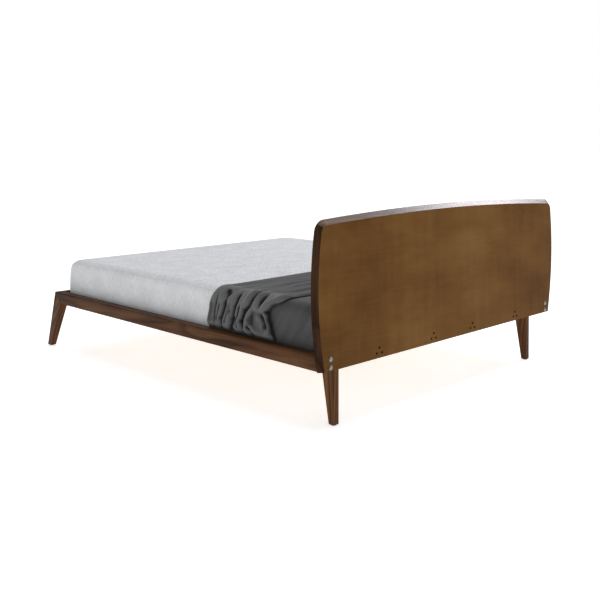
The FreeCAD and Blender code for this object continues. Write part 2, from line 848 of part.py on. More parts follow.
def centre_leg(word):
    """A square post under the beam, with a plate on top and a threaded insert in its end."""
    middle = f"centre_leg_{word}_y"
    half = SIZES["centre_leg_width"] / 2
    body = prism(
        f"centre_leg_{word}",
        "XY_Plane",
        "centre_leg_bottom",
        [
            (f"- {half}", f"{middle} - {half}"),
            (f"{half}", f"{middle} - {half}"),
            (f"{half}", f"{middle} + {half}"),
            (f"- {half}", f"{middle} + {half}"),
        ],
        "beam_bottom - plate_thickness - centre_leg_bottom",
    )
    doc.recompute()
    stud_way = new_sketch(body, f"{word}_stud_way", "XY_Plane", "centre_leg_bottom")
    circle(stud_way, "0", middle, "stud_radius + 1")
    pocket(body, stud_way, "stud_length + 25", "StudWay")
    insert_seat = new_sketch(body, f"{word}_insert_seat", "XY_Plane", "centre_leg_bottom")
    circle(insert_seat, "0", middle, "insert_radius")
    pocket(body, insert_seat, "insert_length", "InsertSeat")
    soften(body, "leg_round", lambda ends: abs(ends[0].z - ends[-1].z) > 150
           and abs(ends[0].x) > 20)
    keep(body, f"centre_leg_{word}")

    plate = prism(
        f"centre_plate_{word}",
        "XY_Plane",
        "beam_bottom - plate_thickness",
        [
            ("- beam_half_width + 2", f"{middle} - plate_half_length"),
            ("beam_half_width - 2", f"{middle} - plate_half_length"),
            ("beam_half_width - 2", f"{middle} + plate_half_length"),
            ("- beam_half_width + 2", f"{middle} + plate_half_length"),
        ],
        "plate_thickness",
    )
    doc.recompute()
    holes = new_sketch(plate, f"{word}_plate_holes", "XY_Plane", "beam_bottom")
    for across in ("beam_half_width - 12", "- beam_half_width + 12"):
        for along in ("+ plate_half_length - 8", "- plate_half_length + 8"):
            circle(holes, across, f"{middle} {along}", "screw_radius")
    pocket(plate, holes, "plate_thickness", "Holes")
    keep(plate, f"centre_plate_{word}")

    insert = new_body(f"threaded_insert_{word}")
    ring = new_sketch(insert, f"{word}_insert_ring", "XY_Plane", "centre_leg_bottom")
    circle(ring, "0", middle, "insert_radius")
    circle(ring, "0", middle, "stud_radius")
    pad(insert, ring, "insert_length")
    keep(insert, f"threaded_insert_{word}")

    leveller = new_body(f"leveller_{word}")
    disc = new_sketch(leveller, f"{word}_disc", "XY_Plane", "leveller_clearance")
    circle(disc, "0", middle, "leveller_radius")
    pad(leveller, disc, "leveller_height", "Disc")
    stud = new_sketch(leveller, f"{word}_stud", "XY_Plane", "leveller_clearance")
    circle(stud, "0", middle, "stud_radius - stud_gap")
    pad(leveller, stud, "stud_length", "Stud")
    soften(
        leveller,
        "2",
        lambda ends: all(
            near(e.z, "leveller_clearance + leveller_height") and abs(e.x) > 15 for e in ends
        ),
    )
    keep(leveller, f"leveller_{word}")


def plate_screws():
    radius, head = SIZES["screw_radius"], SIZES["screw_head_radius"]
    sheet = SIZES["plate_thickness"]
    profile = [(-2.5, head - 1.5), (-1, head), (0, head), (0, radius), (sheet, radius)]
    x = number("beam_half_width - 12")
    z = number("beam_bottom - plate_thickness")
    places = []
    for middle in ("centre_leg_head_y", "centre_leg_foot_y"):
        for side in (-1, 1):
            for along in ("+ plate_half_length - 8", "- plate_half_length + 8"):
                places.append(((side * x, number(f"{middle} {along}"), z), (0, 0, 1)))
    fasteners("centre_plate_screws", profile, places)


# ---------------------------------------------------------------------------------------------
# head brackets and the fasteners that show
# ---------------------------------------------------------------------------------------------

BRACKET_SCREW_PLACES = [("40", "20"), ("40", "46"), ("70", "33")]


def head_bracket(word, side):
    """An angle bracket in the head corner: one flange behind the headboard, one along the rail."""
    inner = "frame_half_width - rail_thickness"
    face = "head_y - headboard_thickness"
    low_z, high_z = "rail_bottom + 1", "cross_rail_top - 1"
    body = prism(
        f"{word}_head_bracket",
        "XY_Plane",
        low_z,
        [
            (mirrored(inner, side), face),
            (mirrored(inner, side), f"{face} - bracket_length"),
            (mirrored(f"{inner} - bracket_sheet", side), f"{face} - bracket_length"),
            (mirrored(f"{inner} - bracket_sheet", side), f"{face} - bracket_sheet"),
            (mirrored(f"{inner} - bracket_width", side), f"{face} - bracket_sheet"),
            (mirrored(f"{inner} - bracket_width", side), face),
        ],
        "cross_rail_top - 1 - rail_bottom - 1",
    )
    doc.recompute()
    holes = upright_sketch(body, f"{word}_bracket_bolt_holes", face)
    for height in ("bolt_low_z", "bolt_high_z"):
        circle(holes, mirrored("bolt_x", side), height, "bolt_radius")
    pocket(body, holes, "bracket_sheet", "BoltHoles")
    offset = mirrored(f"{inner} - bracket_sheet", side)
    rail_holes = new_sketch(body, f"{word}_bracket_rail_holes", "YZ_Plane", offset)
    for along, up in BRACKET_SCREW_PLACES:
        circle(rail_holes, f"{face} - {along}", f"rail_bottom + {up}", "screw_radius")
    pocket(body, rail_holes, "bracket_sheet + 1", "RailHoles")
    keep(body, f"{word}_head_bracket")


def bracket_screws():
    radius, head = SIZES["screw_radius"], SIZES["screw_head_radius"]
    sheet = SIZES["bracket_sheet"]
    profile = [(-2.5, head - 1.5), (-1, head), (0, head), (0, radius), (sheet, radius)]
    x = number("frame_half_width - rail_thickness - bracket_sheet")
    places = []
    for side in (-1, 1):
        for along, up in BRACKET_SCREW_PLACES:
            y = number(f"head_y - headboard_thickness - {along}")
            places.append(((side * x, y, number(f"rail_bottom + {up}")), (side, 0, 0)))
    fasteners("bracket_screws", profile, places)


def headboard_fasteners():
    """Domed bolts with washers at the lower corners, and the small black screws between them."""
    radius, head = SIZES["bolt_radius"], SIZES["bolt_head_radius"]
    height, washer = SIZES["bolt_head_height"], SIZES["washer_thickness"]
    reach = number("headboard_thickness + cross_rail_thickness - 6")
    y = SIZES["head_y"]
    profile = [
        (2.5 - height - washer, 2.6),
        (-height - washer, 2.6),
        (-height - washer + 0.4, head * 0.62),
        (-washer - height * 0.45, head * 0.9),
        (-washer, head),
        (-washer, radius),
        (reach, radius),
    ]
    places = [((x, y, z), (0, -1, 0)) for x, z in BOLT_PLACES]
    fasteners("headboard_bolts", profile, places)

    washers = doc.addObject("Part::Feature", "headboard_bolt_washers")
    rings = []
    for x, z in BOLT_PLACES:
        place = Vector(x, y, z)
        outer = Part.makeCylinder(SIZES["washer_radius"], washer, place, Vector(0, 1, 0))
        hole = Part.makeCylinder(radius, washer, place, Vector(0, 1, 0))
        rings.append(outer.cut(hole))
    washers.Shape = Part.makeCompound(rings)
    keep(washers, "headboard_bolt_washers")

    radius, head = SIZES["screw_radius"], SIZES["black_head_radius"]
    length = number("headboard_thickness + cross_rail_thickness - 8")
    profile = [
        (-0.8, 2.2),
        (-2.2, 2.2),
        (-2.2, head - 1.6),
        (-0.8, head),
        (0, head),
        (0, radius),
        (length, radius),
    ]
    places = [((number(x), y, number(z)), (0, -1, 0)) for x, z in triad_corners()]
    fasteners("cross_rail_screws", profile, places)


def head_leg_bolts():
    """Machine screws through the cross rail into the head legs, their heads behind the headboard."""
    radius = number("screw_radius + 1")
    y = number("head_y - headboard_thickness")
    length = number("cross_rail_thickness + 40")
    profile = [(0.5, radius), (length, radius)]
    x = number("head_leg_outer - 17.5")
    places = []
    for side in (-1, 1):
        for words in LEG_BOLT_HEIGHTS:
            places.append(((side * x, y, number(words)), (0, -1, 0)))
    fasteners("head_leg_bolts", profile, places)


# ---------------------------------------------------------------------------------------------
# mattress and bedding, as plain solids of the right size and place
# ---------------------------------------------------------------------------------------------

def mattress():
    body = prism(
        "mattress",
        "XY_Plane",
        "mattress_bottom",
        [
            ("- mattress_half_width", "mattress_foot_y"),
            ("mattress_half_width", "mattress_foot_y"),
            ("mattress_half_width", "mattress_head_y"),
            ("- mattress_half_width", "mattress_head_y"),
        ],
        "mattress_top - mattress_bottom",
    )
    soften(body, "mattress_corner", lambda ends: abs(ends[0].z - ends[-1].z) > 50, "Corners")
    soften(body, "mattress_edge", lambda ends: abs(ends[0].z - ends[-1].z) < 1, "Edges")
    keep(body, "mattress")


def bedding(name, half_width, top, thickness, head_y, foot_y):
    """A sheet over the mattress and down both of its sides, as one bent slab."""
    inner, under = f"{half_width} - {thickness}", f"{top} - {thickness}"
    body = prism(
        name,
        "XZ_Plane",
        mirrored(head_y, -1),
        [
            (f"- {half_width}", "bedding_hem"),
            (f"- {half_width}", top),
            (half_width, top),
            (half_width, "bedding_hem"),
            (inner, "bedding_hem"),
            (inner, under),
            (mirrored(inner, -1), under),
            (mirrored(inner, -1), "bedding_hem"),
        ],
        f"{head_y} - {foot_y}",
    )
    keep(body, name)


headboard()
head_cross_rail()
foot_rail()
for word, side in SIDES.items():
    side_rail(word, side)
    head_leg(word, side)
    foot_leg(word, side)
    ledger(word, side)
    corner_block(word, side)
    head_bracket(word, side)
glides()
slats()
block_screws()
centre_beam()
hanger_wall = "head_y - headboard_thickness - cross_rail_thickness"
beam_hanger("beam_hanger_head", hanger_wall, -1)
beam_hanger("beam_hanger_foot", "foot_rail_inner_y", 1)
hanger_screws()
centre_leg("head")
centre_leg("foot")
plate_screws()
bracket_screws()
headboard_fasteners()
head_leg_bolts()
mattress()
bedding(
    "charcoal_sheet", "sheet_half_width", "sheet_top", "bedding_thickness",
    "mattress_head_y", "sheet_foot_y",
)
bedding(
    "charcoal_throw", "throw_half_width", "throw_top", "throw_thickness",
    "throw_head_y", "throw_foot_y",
)
doc.recompute()

faults = [item.Name for item in doc.Objects if {"Invalid", "Error"} & set(item.State)]
for item in sub_parts:
    if item.Shape.isNull() or not item.Shape.isValid() or not item.Shape.Solids:
        faults.append(item.Label)
if faults:
    raise RuntimeError(f"failed objects: {faults}")

os.makedirs("parts", exist_ok=True)
for item in sub_parts:
    item.Shape.exportStep(f"parts/{item.Label}.step")
    print(f"{item.Label}: {len(item.Shape.Solids)} solid(s), {item.Shape.Volume / 1000:.1f} cm3")
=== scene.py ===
import math

import bpy
import numpy as np
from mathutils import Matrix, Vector, noise


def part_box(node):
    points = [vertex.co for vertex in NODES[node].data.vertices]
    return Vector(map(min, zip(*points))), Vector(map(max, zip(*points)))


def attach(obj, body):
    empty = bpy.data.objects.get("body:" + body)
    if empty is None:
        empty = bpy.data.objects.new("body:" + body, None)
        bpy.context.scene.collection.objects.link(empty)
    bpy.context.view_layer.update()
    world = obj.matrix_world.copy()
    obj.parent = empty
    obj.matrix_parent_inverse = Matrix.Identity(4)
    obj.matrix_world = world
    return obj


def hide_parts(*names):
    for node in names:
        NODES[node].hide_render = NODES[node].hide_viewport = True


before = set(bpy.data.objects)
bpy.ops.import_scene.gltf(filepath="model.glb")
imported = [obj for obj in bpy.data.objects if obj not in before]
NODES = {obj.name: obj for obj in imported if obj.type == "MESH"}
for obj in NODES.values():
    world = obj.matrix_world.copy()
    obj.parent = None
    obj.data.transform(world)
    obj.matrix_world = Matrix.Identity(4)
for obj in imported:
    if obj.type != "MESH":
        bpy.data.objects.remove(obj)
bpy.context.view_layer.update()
BODY = "bed"

# Bedding, in metres. The mattress box comes from the frame and the rest follows it.
MATTRESS_LOW, MATTRESS_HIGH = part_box("mattress")
SHOULDER = 0.05  # radius of the mattress's edges
MATTRESS_STEP = 0.018  # spacing of the cover's grid
CROWN = 0.003  # how much higher the middle of the top stands
ROLL = 0.0025  # how far the top rises and falls
SINK = 0.002  # how far the whole top lies below the box
FOOT_REACH = 0.16  # how far the softer rounding of the free foot end reaches
FOOT_DROP = 0.010  # how far it lowers the top edge
FOOT_PULL = 0.034  # how far it draws the top edge in
SEAM_DROP = 0.55  # how far down the shoulder the seam runs, as a share of its radius
SEAM_RADIUS = 0.0022
SEAM_STEP = 0.03
CORNER_STEPS = 8

RAIL_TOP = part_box("right_side_rail")[1].z
RAIL_THICKNESS = 0.05
TUCK_X = (MATTRESS_HIGH.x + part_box("right_side_rail")[1].x - RAIL_THICKNESS) / 2
TUCK_Z = RAIL_TOP + 0.004  # cloth below this lies in the gap between mattress and rail
HEM_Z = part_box("charcoal_throw")[0].z + 0.004

SHEET_FOOT_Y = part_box("charcoal_sheet")[0].y
SHEET_GAP = 0.0028
SHEET_THICKNESS = 0.0012
SHEET_HEM_DROP = 0.002  # how far the sheet's hem lies below the throw's
SHEET_LINES = 0.0012  # height of its drawn lines
SHEET_GATHERS = 0.003  # height of the gathers at its corners

THROW_GAP = 0.0065
THROW_THICKNESS = 0.003
THROW_STEP_ACROSS = 0.0085  # in metres across the bed
THROW_STEP_ALONG = 0.0080  # as a share of the way from foot hem to head hem


# ---------------------------------------------------------------- materials


class Graph:
    """A material and short ways to add nodes to it."""

    def __init__(self, name):
        self.material = bpy.data.materials.new(name)
        self.material.use_nodes = True
        self.tree = self.material.node_tree
        self.shader = self.tree.nodes["Principled BSDF"]

    def add(self, kind, **settings):
        node = self.tree.nodes.new("ShaderNode" + kind)
        for key, value in settings.items():
            setattr(node, key, value)
        return node

    def feed(self, node, name, value):
        """Sets a socket to a number, or links it to another node's output."""
        if isinstance(value, bpy.types.NodeSocket):
            self.tree.links.new(value, node.inputs[name])
        else:
            node.inputs[name].default_value = value

    def math(self, operation, a, b=0.0, c=0.0):
        node = self.add("Math", operation=operation)
        for place, value in enumerate((a, b, c)):
            self.feed(node, place, value)
        return node.outputs[0]

    def vector(self, operation, a, b):
        node = self.add("VectorMath", operation=operation)
        self.feed(node, 0, a)
        self.feed(node, 1, b)
        return node.outputs["Value" if operation == "LENGTH" else "Vector"]

    def place(self):
        return self.add("TexCoord").outputs["Object"]

    def turned(self, vector, rotation, shift=(0, 0, 0)):
        node = self.add("Mapping")
        self.feed(node, "Vector", vector)
        node.inputs["Rotation"].default_value = rotation
        node.inputs["Location"].default_value = shift
        return node.outputs[0]

    def stretched(self, vector, scale):
        return self.vector("MULTIPLY", vector, scale)

    def noise(self, vector, scale, detail=3.0, roughness=0.5, distortion=0.0):
        node = self.add("TexNoise")
        self.feed(node, "Vector", vector)
        for name, value in (
            ("Scale", scale),
            ("Detail", detail),
            ("Roughness", roughness),
            ("Distortion", distortion),
        ):
            node.inputs[name].default_value = value
        return node.outputs[0]

    def ramp(self, value, stops):
        node = self.add("ValToRGB")
        self.feed(node, "Fac", value)
        band = node.color_ramp
        while len(band.elements) < len(stops):
            band.elements.new(0.5)
        for element, (position, colour) in zip(band.elements, stops):
            element.position = position
            element.color = (*colour, 1)
        return node.outputs["Color"]

    def grey(self, value, stops):
        return self.ramp(value, [(p, (g, g, g)) for p, g in stops])

    def mix(self, factor, a, b, blend="MIX"):
        node = self.add("Mix", data_type="RGBA", blend_type=blend)
        self.feed(node, "Factor", factor)
        for name, value in (("A", a), ("B", b)):
            socket = [s for s in node.inputs if s.name == name and s.type == "RGBA"][0]
            if isinstance(value, bpy.types.NodeSocket):
                self.tree.links.new(value, socket)
            else:
                socket.default_value = (*value, 1)
        return [s for s in node.outputs if s.type == "RGBA"][0]

    def bump(self, height, strength, distance):
        node = self.add("Bump")
        self.feed(node, "Height", height)
        node.inputs["Strength"].default_value = strength
        node.inputs["Distance"].default_value = distance
        self.feed(self.shader, "Normal", node.outputs[0])

    def surface(self, **sockets):
        for name, value in sockets.items():
            self.feed(self.shader, name.replace("_", " "), value)
        return self.material


# Each wood's dark, middle and light tone.
WALNUT = ((0.026, 0.0100, 0.0036), (0.070, 0.028, 0.0098), (0.155, 0.070, 0.026))
STAINED_PLY = ((0.096, 0.042, 0.0105), (0.133, 0.062, 0.0165), (0.175, 0.087, 0.0265))
PINE = ((0.36, 0.22, 0.11), (0.56, 0.39, 0.22), (0.68, 0.52, 0.33))


def timber(name, turn, shift, tones, ring, tilt, figure=1.0, gloss=0.22):
    """Solid wood cut from a log: rings about a slightly tilted axis, fibre streaks and pores.

    turn rotates the piece's frame so that the grain runs along local X, shift picks where in
    the log it was cut, ring is the width of a ring in metres and tilt is in degrees.
    """
    dark, mid, light = tones
    g = Graph(name)
    local = g.turned(g.place(), turn)
    log = g.turned(local, (0, math.radians(tilt), math.radians(tilt * 0.6)), shift)
    wander = g.noise(g.stretched(log, (1.1, 5.0, 5.0)), 1.0, 2.0, 0.45)
    split = g.add("SeparateXYZ")
    g.feed(split, 0, log)
    push = g.math("MULTIPLY", g.math("SUBTRACT", wander, 0.5), 0.15 * figure)
    across = g.add("CombineXYZ")
    g.feed(across, 1, g.math("ADD", split.outputs[1], push))
    g.feed(across, 2, g.math("ADD", split.outputs[2], g.math("MULTIPLY", push, 0.6)))
    radius = g.vector("LENGTH", across.outputs[0], (0, 0, 0))
    rings = g.math("FRACT", g.math("DIVIDE", radius, ring))
    ring_tone = g.grey(rings, [(0.0, 0.25), (0.55, 0.8), (0.86, 0.55), (0.96, 0.0), (1.0, 0.25)])
    streaks = g.noise(g.stretched(log, (1.6, 75.0, 75.0)), 1.0, 5.0, 0.62)
    broad = g.noise(g.stretched(log, (1.3, 11.0, 11.0)), 1.0, 2.0, 0.5)
    tone = g.math("MULTIPLY_ADD", ring_tone, 0.42, g.math("MULTIPLY", streaks, 0.62))
    tone = g.math("ADD", tone, g.math("SUBTRACT", broad, 0.5))
    colour = g.ramp(tone, [(0.20, dark), (0.48, mid), (0.84, light)])
    pores = g.noise(g.stretched(log, (34.0, 900.0, 900.0)), 1.0, 2.0, 0.5)
    pore_mask = g.grey(pores, [(0.55, 0.0), (0.70, 1.0)])
    colour = g.mix(g.math("MULTIPLY", pore_mask, 0.45), colour, dark)
    rough = g.math("MULTIPLY_ADD", streaks, 0.16, 0.40 - gloss * 0.35)
    g.bump(g.math("MULTIPLY_ADD", pore_mask, -1.0, streaks), 0.22, 0.0006)
    return g.surface(Base_Color=colour, Roughness=rough, Specular_IOR_Level=gloss)


def plywood(name):
    """Stained ply: fine level grain, soft clouding and faint upright rays, with painted shade
    towards the ends.
    """
    dark, mid, light = STAINED_PLY
    g = Graph(name)
    place = g.place()
    clouds = g.noise(g.stretched(place, (2.2, 1.0, 4.6)), 1.0, 3.0, 0.55)
    grain = g.noise(g.stretched(place, (5.0, 90.0, 90.0)), 1.0, 4.0, 0.65, 0.6)
    rays = g.noise(g.stretched(place, (24.0, 10.0, 3.0)), 1.0, 3.0, 0.6)
    speck = g.noise(g.stretched(place, (45.0, 60.0, 160.0)), 1.0, 2.0, 0.5)
    tone = g.math("MULTIPLY_ADD", clouds, 1.1, g.math("MULTIPLY", grain, 0.34))
    tone = g.math("ADD", tone, g.math("MULTIPLY", rays, 0.32))
    tone = g.math("SUBTRACT", tone, 0.31)
    split = g.add("SeparateXYZ")
    g.feed(split, 0, place)
    from_middle = g.math("ABSOLUTE", split.outputs[0])
    # Painted shade: the ply is painted darker towards its ends, around a pool of light in its
    # middle.
    tone = g.math("MULTIPLY_ADD", from_middle, -0.20, tone)
    colour = g.ramp(tone, [(0.22, dark), (0.5, mid), (0.80, light)])
    fleck = g.grey(speck, [(0.62, 0.0), (0.78, 1.0)])
    colour = g.mix(g.math("MULTIPLY", fleck, 0.28), colour, dark)
    g.bump(g.math("ADD", grain, g.math("MULTIPLY", fleck, -0.6)), 0.12, 0.0004)
    rough = g.math("MULTIPLY_ADD", grain, 0.15, 0.47)
    return g.surface(Base_Color=colour, Roughness=rough, Specular_IOR_Level=0.03)


def zinc():
    """Bright zinc plate with slight clouding and fine scratches."""
    g = Graph("zinc_plate")
    place = g.place()
    cloud = g.noise(place, 160.0, 3.0)
    scratch = g.noise(g.stretched(place, (300.0, 2400.0, 900.0)), 1.0, 2.0)
    colour = g.ramp(cloud, [(0.3, (0.17, 0.205, 0.21)), (0.7, (0.33, 0.38, 0.38))])
    rough = g.math("MULTIPLY_ADD", cloud, 0.2, 0.24)
    g.bump(scratch, 0.15, 0.0002)
    return g.surface(Base_Color=colour, Roughness=rough, Metallic=1.0)


def black_oxide():
    """Black oxide steel, a little worn on its high spots."""
    g = Graph("black_oxide_steel")
    wear = g.noise(g.place(), 420.0, 4.0, 0.65)
    colour = g.ramp(wear, [(0.5, (0.003, 0.003, 0.003)), (0.8, (0.014, 0.013, 0.012))])
    rough = g.math("MULTIPLY_ADD", wear, 0.3, 0.5)
    g.bump(wear, 0.1, 0.0002)
    return g.surface(Base_Color=colour, Roughness=rough, Specular_IOR_Level=0.03)


def nylon():
    """Matt black nylon with the fine spark texture of its mould."""
    g = Graph("black_nylon_mould")
    grain = g.noise(g.place(), 1500.0, 2.0)
    colour = g.ramp(grain, [(0.3, (0.014, 0.014, 0.015)), (0.7, (0.028, 0.028, 0.029))])
    g.bump(grain, 0.3, 0.0002)
    return g.surface(Base_Color=colour, Roughness=0.62)


def knit():
    """The mattress cover: a pebbled knit on top and fine upright ribs on the sides."""
    g = Graph("pale_knit")
    place = g.place()
    facing = g.add("SeparateXYZ")
    g.feed(facing, 0, g.add("NewGeometry").outputs["Normal"])
    up = g.grey(facing.outputs[2], [(0.45, 0.0), (0.85, 1.0)])
    uneven = g.noise(place, 9.0, 2.0)
    pebble = g.add("TexVoronoi", feature="SMOOTH_F1")
    g.feed(pebble, "Vector", place)
    pebble.inputs["Scale"].default_value = 88.0
    pebble.inputs["Smoothness"].default_value = 0.6
    pebbles = g.math("SUBTRACT", 1.0, pebble.outputs["Distance"])
    ribs = g.noise(g.stretched(place, (125.0, 125.0, 34.0)), 1.0, 2.0, 0.5)
    yarn = g.noise(g.stretched(place, (700.0, 700.0, 700.0)), 1.0, 2.0)
    relief = g.add("Mix", data_type="FLOAT")
    g.feed(relief, 0, up)
    g.feed(relief, 2, ribs)
    g.feed(relief, 3, pebbles)
    height = g.math("MULTIPLY_ADD", yarn, 0.12, relief.outputs[0])
    tone = g.math("MULTIPLY_ADD", relief.outputs[0], 0.6, g.math("MULTIPLY", uneven, 0.4))
    colour = g.ramp(tone, [(0.30, (0.59, 0.595, 0.608)), (0.70, (0.785, 0.79, 0.80))])
    g.bump(height, 0.8, 0.0032)
    return g.surface(
        Base_Color=colour, Roughness=0.92, Specular_IOR_Level=0.15, Sheen_Weight=0.12
    )


def cotton():
    """Smooth dark cotton sateen with a fine weave and faint painted diagonal sheen."""
    g = Graph("charcoal_sateen")
    place = g.place()
    weft = g.noise(g.stretched(place, (260.0, 1500.0, 1500.0)), 1.0, 1.0)
    warp = g.noise(g.stretched(place, (1500.0, 260.0, 260.0)), 1.0, 1.0)
    cloud = g.noise(place, 5.0, 3.0)
    weave = g.math("ADD", weft, warp)
    # Painted sheen: faint diagonal streaks that lighten and darken the colour.
    painted_sheen = g.noise(g.stretched(g.turned(place, (0.6, 0.0, 0.0)), (3.0, 26.0, 2.5)), 1.0, 2.0)
    tone = g.math("MULTIPLY_ADD", weave, 0.2, g.math("MULTIPLY", cloud, 0.3))
    tone = g.math("MULTIPLY_ADD", painted_sheen, 0.5, tone)
    colour = g.ramp(tone, [(0.38, (0.019, 0.019, 0.020)), (0.72, (0.060, 0.060, 0.061))])
    g.bump(weave, 0.12, 0.0003)
    return g.surface(
        Base_Color=colour, Roughness=0.62, Specular_IOR_Level=0.35, Sheen_Weight=0.1
    )


def brushed_throw():
    """Soft brushed charcoal cloth: short nap, slight sheen, painted shade in its folds and painted
    highlights on their ridges.
    """
    g = Graph("charcoal_brushed")
    place = g.place()
    nap = g.noise(place, 420.0, 4.0, 0.7)
    slub = g.noise(g.stretched(place, (40.0, 170.0, 170.0)), 1.0, 3.0, 0.6)
    cloud = g.noise(place, 8.0, 3.0)
    tone = g.math("MULTIPLY_ADD", nap, 0.35, g.math("MULTIPLY", slub, 0.35))
    tone = g.math("MULTIPLY_ADD", cloud, 0.3, tone)
    colour = g.ramp(tone, [(0.3, (0.060, 0.060, 0.060)), (0.7, (0.114, 0.114, 0.114))])
    fold_shade = g.add("Attribute", attribute_name="fold_shade").outputs["Fac"]
    # Painted shade darkens the cloth in its folds; a painted highlight lightens the ridges between
    # them.
    shade = g.grey(fold_shade, [(0.12, 1.3), (0.5, 0.56), (0.76, 0.17), (1.0, 0.03)])
    colour = g.mix(1.0, colour, shade, "MULTIPLY")
    g.bump(g.math("MULTIPLY_ADD", slub, 0.8, nap), 0.35, 0.0012)
    return g.surface(
        Base_Color=colour, Roughness=0.88, Specular_IOR_Level=0.2, Sheen_Weight=0.2
    )


def assign(node, material):
    """Gives a CAD node one better material in every slot."""
    materials = NODES[node].data.materials
    if not materials:
        materials.append(material)
    for place in range(len(materials)):
        materials[place] = material


QUARTER = math.pi / 2
ALONG_X = (0.0, 0.0, 0.0)
ALONG_Y = (0.0, 0.0, -QUARTER)
ALONG_Z = (0.0, QUARTER, 0.0)
FOOT_LEAN = math.radians(23)
# Painted shade: the headboard's side edges are painted darker, as if they faced away from the
# light.
EDGE_SHADE = 0.36
LEG_SHADE = 1.4
RAIL_SHADE = 0.92
TOP_EDGE_GLOSS = 0.5
WALNUT_GLOSS = 0.07

# Each walnut piece: the turn that lays its grain along local X, where in the log it lies, the
# width of its rings and the log's tilt in degrees.
WALNUT_CUTS = {
    "headboard_panel": (ALONG_X, (0.3, 0.11, -0.45), 0.030, 1.6),
    "headboard_top_edge": (ALONG_X, (0.9, 0.07, -0.93), 0.020, 2.0),
    "headboard_bottom_edge": (ALONG_X, (0.1, 0.05, -0.20), 0.020, 2.0),
    "headboard_left_edge": (ALONG_Z, (0.4, 0.06, 0.13), 0.020, 2.0),
    "headboard_right_edge": (ALONG_Z, (0.7, 0.09, 0.07), 0.020, 2.0),
    "head_cross_rail": (ALONG_X, (1.3, 0.04, -0.24), 0.018, 2.0),
    "foot_rail": (ALONG_X, (0.2, 0.12, -0.24), 0.018, 2.4),
    "left_side_rail": (ALONG_Y, (0.6, 0.85, -0.25), 0.018, 2.4),
    "right_side_rail": (ALONG_Y, (0.2, -1.03, -0.24), 0.018, 2.4),
    "left_head_leg": (ALONG_Z, (0.3, 0.05, 0.70), 0.015, 2.0),
    "right_head_leg": (ALONG_Z, (0.8, 0.09, -0.90), 0.015, 2.0),
    "left_foot_leg": (ALONG_Z, (0.5, 0.12, 0.85), 0.015, 2.2),
    "right_foot_leg": (ALONG_Z, (0.9, 0.10, -1.05), 0.015, 2.2),
}


def walnut_shade(name):
    """How light a piece is painted: painted shade darkens the headboard's side edges, the head
    legs are lighter and the side rails darker.
    """
    if name in ("headboard_left_edge", "headboard_right_edge"):
        return EDGE_SHADE
    if name.endswith("head_leg"):
        return LEG_SHADE
    return RAIL_SHADE if name.endswith("side_rail") else 1.0


def finish_wood():
    for name, (turn, shift, ring, tilt) in WALNUT_CUTS.items():
        if name.endswith("foot_leg"):
            turn = (FOOT_LEAN, turn[1], 0.0)
        shade = walnut_shade(name)
        tones = [tuple(shade * c for c in tone) for tone in WALNUT]
        gloss = TOP_EDGE_GLOSS if name == "headboard_top_edge" else WALNUT_GLOSS
        wood = timber("walnut_" + name, turn, shift, tones, ring, tilt, gloss=gloss)
        assign(name, wood)
    assign("headboard_back_skin", plywood("stained_ply"))
    pine = {"tones": PINE, "ring": 0.02, "tilt": 2.0, "figure": 0.6}
    across = timber("pine_across", ALONG_X, (0.2, 0.1, 0.1), **pine)
    along = timber("pine_along", ALONG_Y, (0.4, 0.1, 0.2), **pine)
    upright = timber("pine_upright", ALONG_Z, (0.3, 0.1, 0.1), **pine)
    for name in NODES:
        if name.startswith("slat_") and name != "slat_screws":
            assign(name, across)
        elif name == "centre_beam" or name.endswith("slat_ledger"):
            assign(name, along)
        elif name.startswith("centre_leg") or name.endswith("corner_block"):
            assign(name, upright)


BLACKENED = ("cross_rail_screws", "beam_hanger_head")
METAL_WORDS = ("screw", "bolt", "washer", "hanger", "bracket", "plate", "insert", "leveller")


def finish_metal():
    plate, oxide, plastic = zinc(), black_oxide(), nylon()
    for name in NODES:
        if "glide" in name:
            assign(name, plastic)
        elif name in BLACKENED:
            assign(name, oxide)
        elif any(word in name for word in METAL_WORDS):
            assign(name, plate)


# ---------------------------------------------------------------- bedding


def smooth(value):
    """A step from 0 to 1 with soft ends, as value goes from 0 to 1."""
    value = np.clip(value, 0, 1)
    return value * value * (3 - 2 * value)


def bell(value, middle, width):
    return np.exp(-(((value - middle) / width) ** 2))


def new_piece(name, vertices, faces, material, rounded=True):
    mesh = bpy.data.meshes.new(name)
    mesh.from_pydata([tuple(v) for v in vertices], [], faces)
    mesh.validate()
    mesh.materials.append(material)
    for polygon in mesh.polygons:
        polygon.use_smooth = rounded
    piece = bpy.data.objects.new(name, mesh)
    bpy.context.scene.collection.objects.link(piece)
    return piece


def steps(low, high, step):
    return np.linspace(low, high, max(2, round((high - low) / step)) + 1)


def rounded_box(low, high, radius, step):
    """Vertices and faces of a box with rounded top and upright edges, on a square grid."""
    xs, ys, zs = (steps(a, b, step) for a, b in zip(low, high))
    index, points, faces = {}, [], []

    def vertex(i, j, k):
        key = (i, j, k)
        if key not in index:
            index[key] = len(points)
            points.append((xs[i], ys[j], zs[k]))
        return index[key]

    counts = (len(xs) - 1, len(ys) - 1, len(zs) - 1)
    for fixed in range(3):
        u, v = [axis for axis in range(3) if axis != fixed]
        for end in (0, counts[fixed]):
            for a in range(counts[u]):
                for b in range(counts[v]):
                    corner = []
                    for da, db in ((0, 0), (1, 0), (1, 1), (0, 1)):
                        key = [0, 0, 0]
                        key[fixed], key[u], key[v] = end, a + da, b + db
                        corner.append(vertex(*key))
                    flip = (end == 0) != (fixed == 1)
                    faces.append(corner[::-1] if flip else corner)
    p = np.array(points)
    inner = np.clip(p, np.array(low) + radius, np.array(high) - radius)
    inner[:, 2] = np.minimum(p[:, 2], high[2] - radius)
    out = p - inner
    out /= np.maximum(np.linalg.norm(out, axis=1, keepdims=True), 1e-9)
    return inner + out * radius, faces


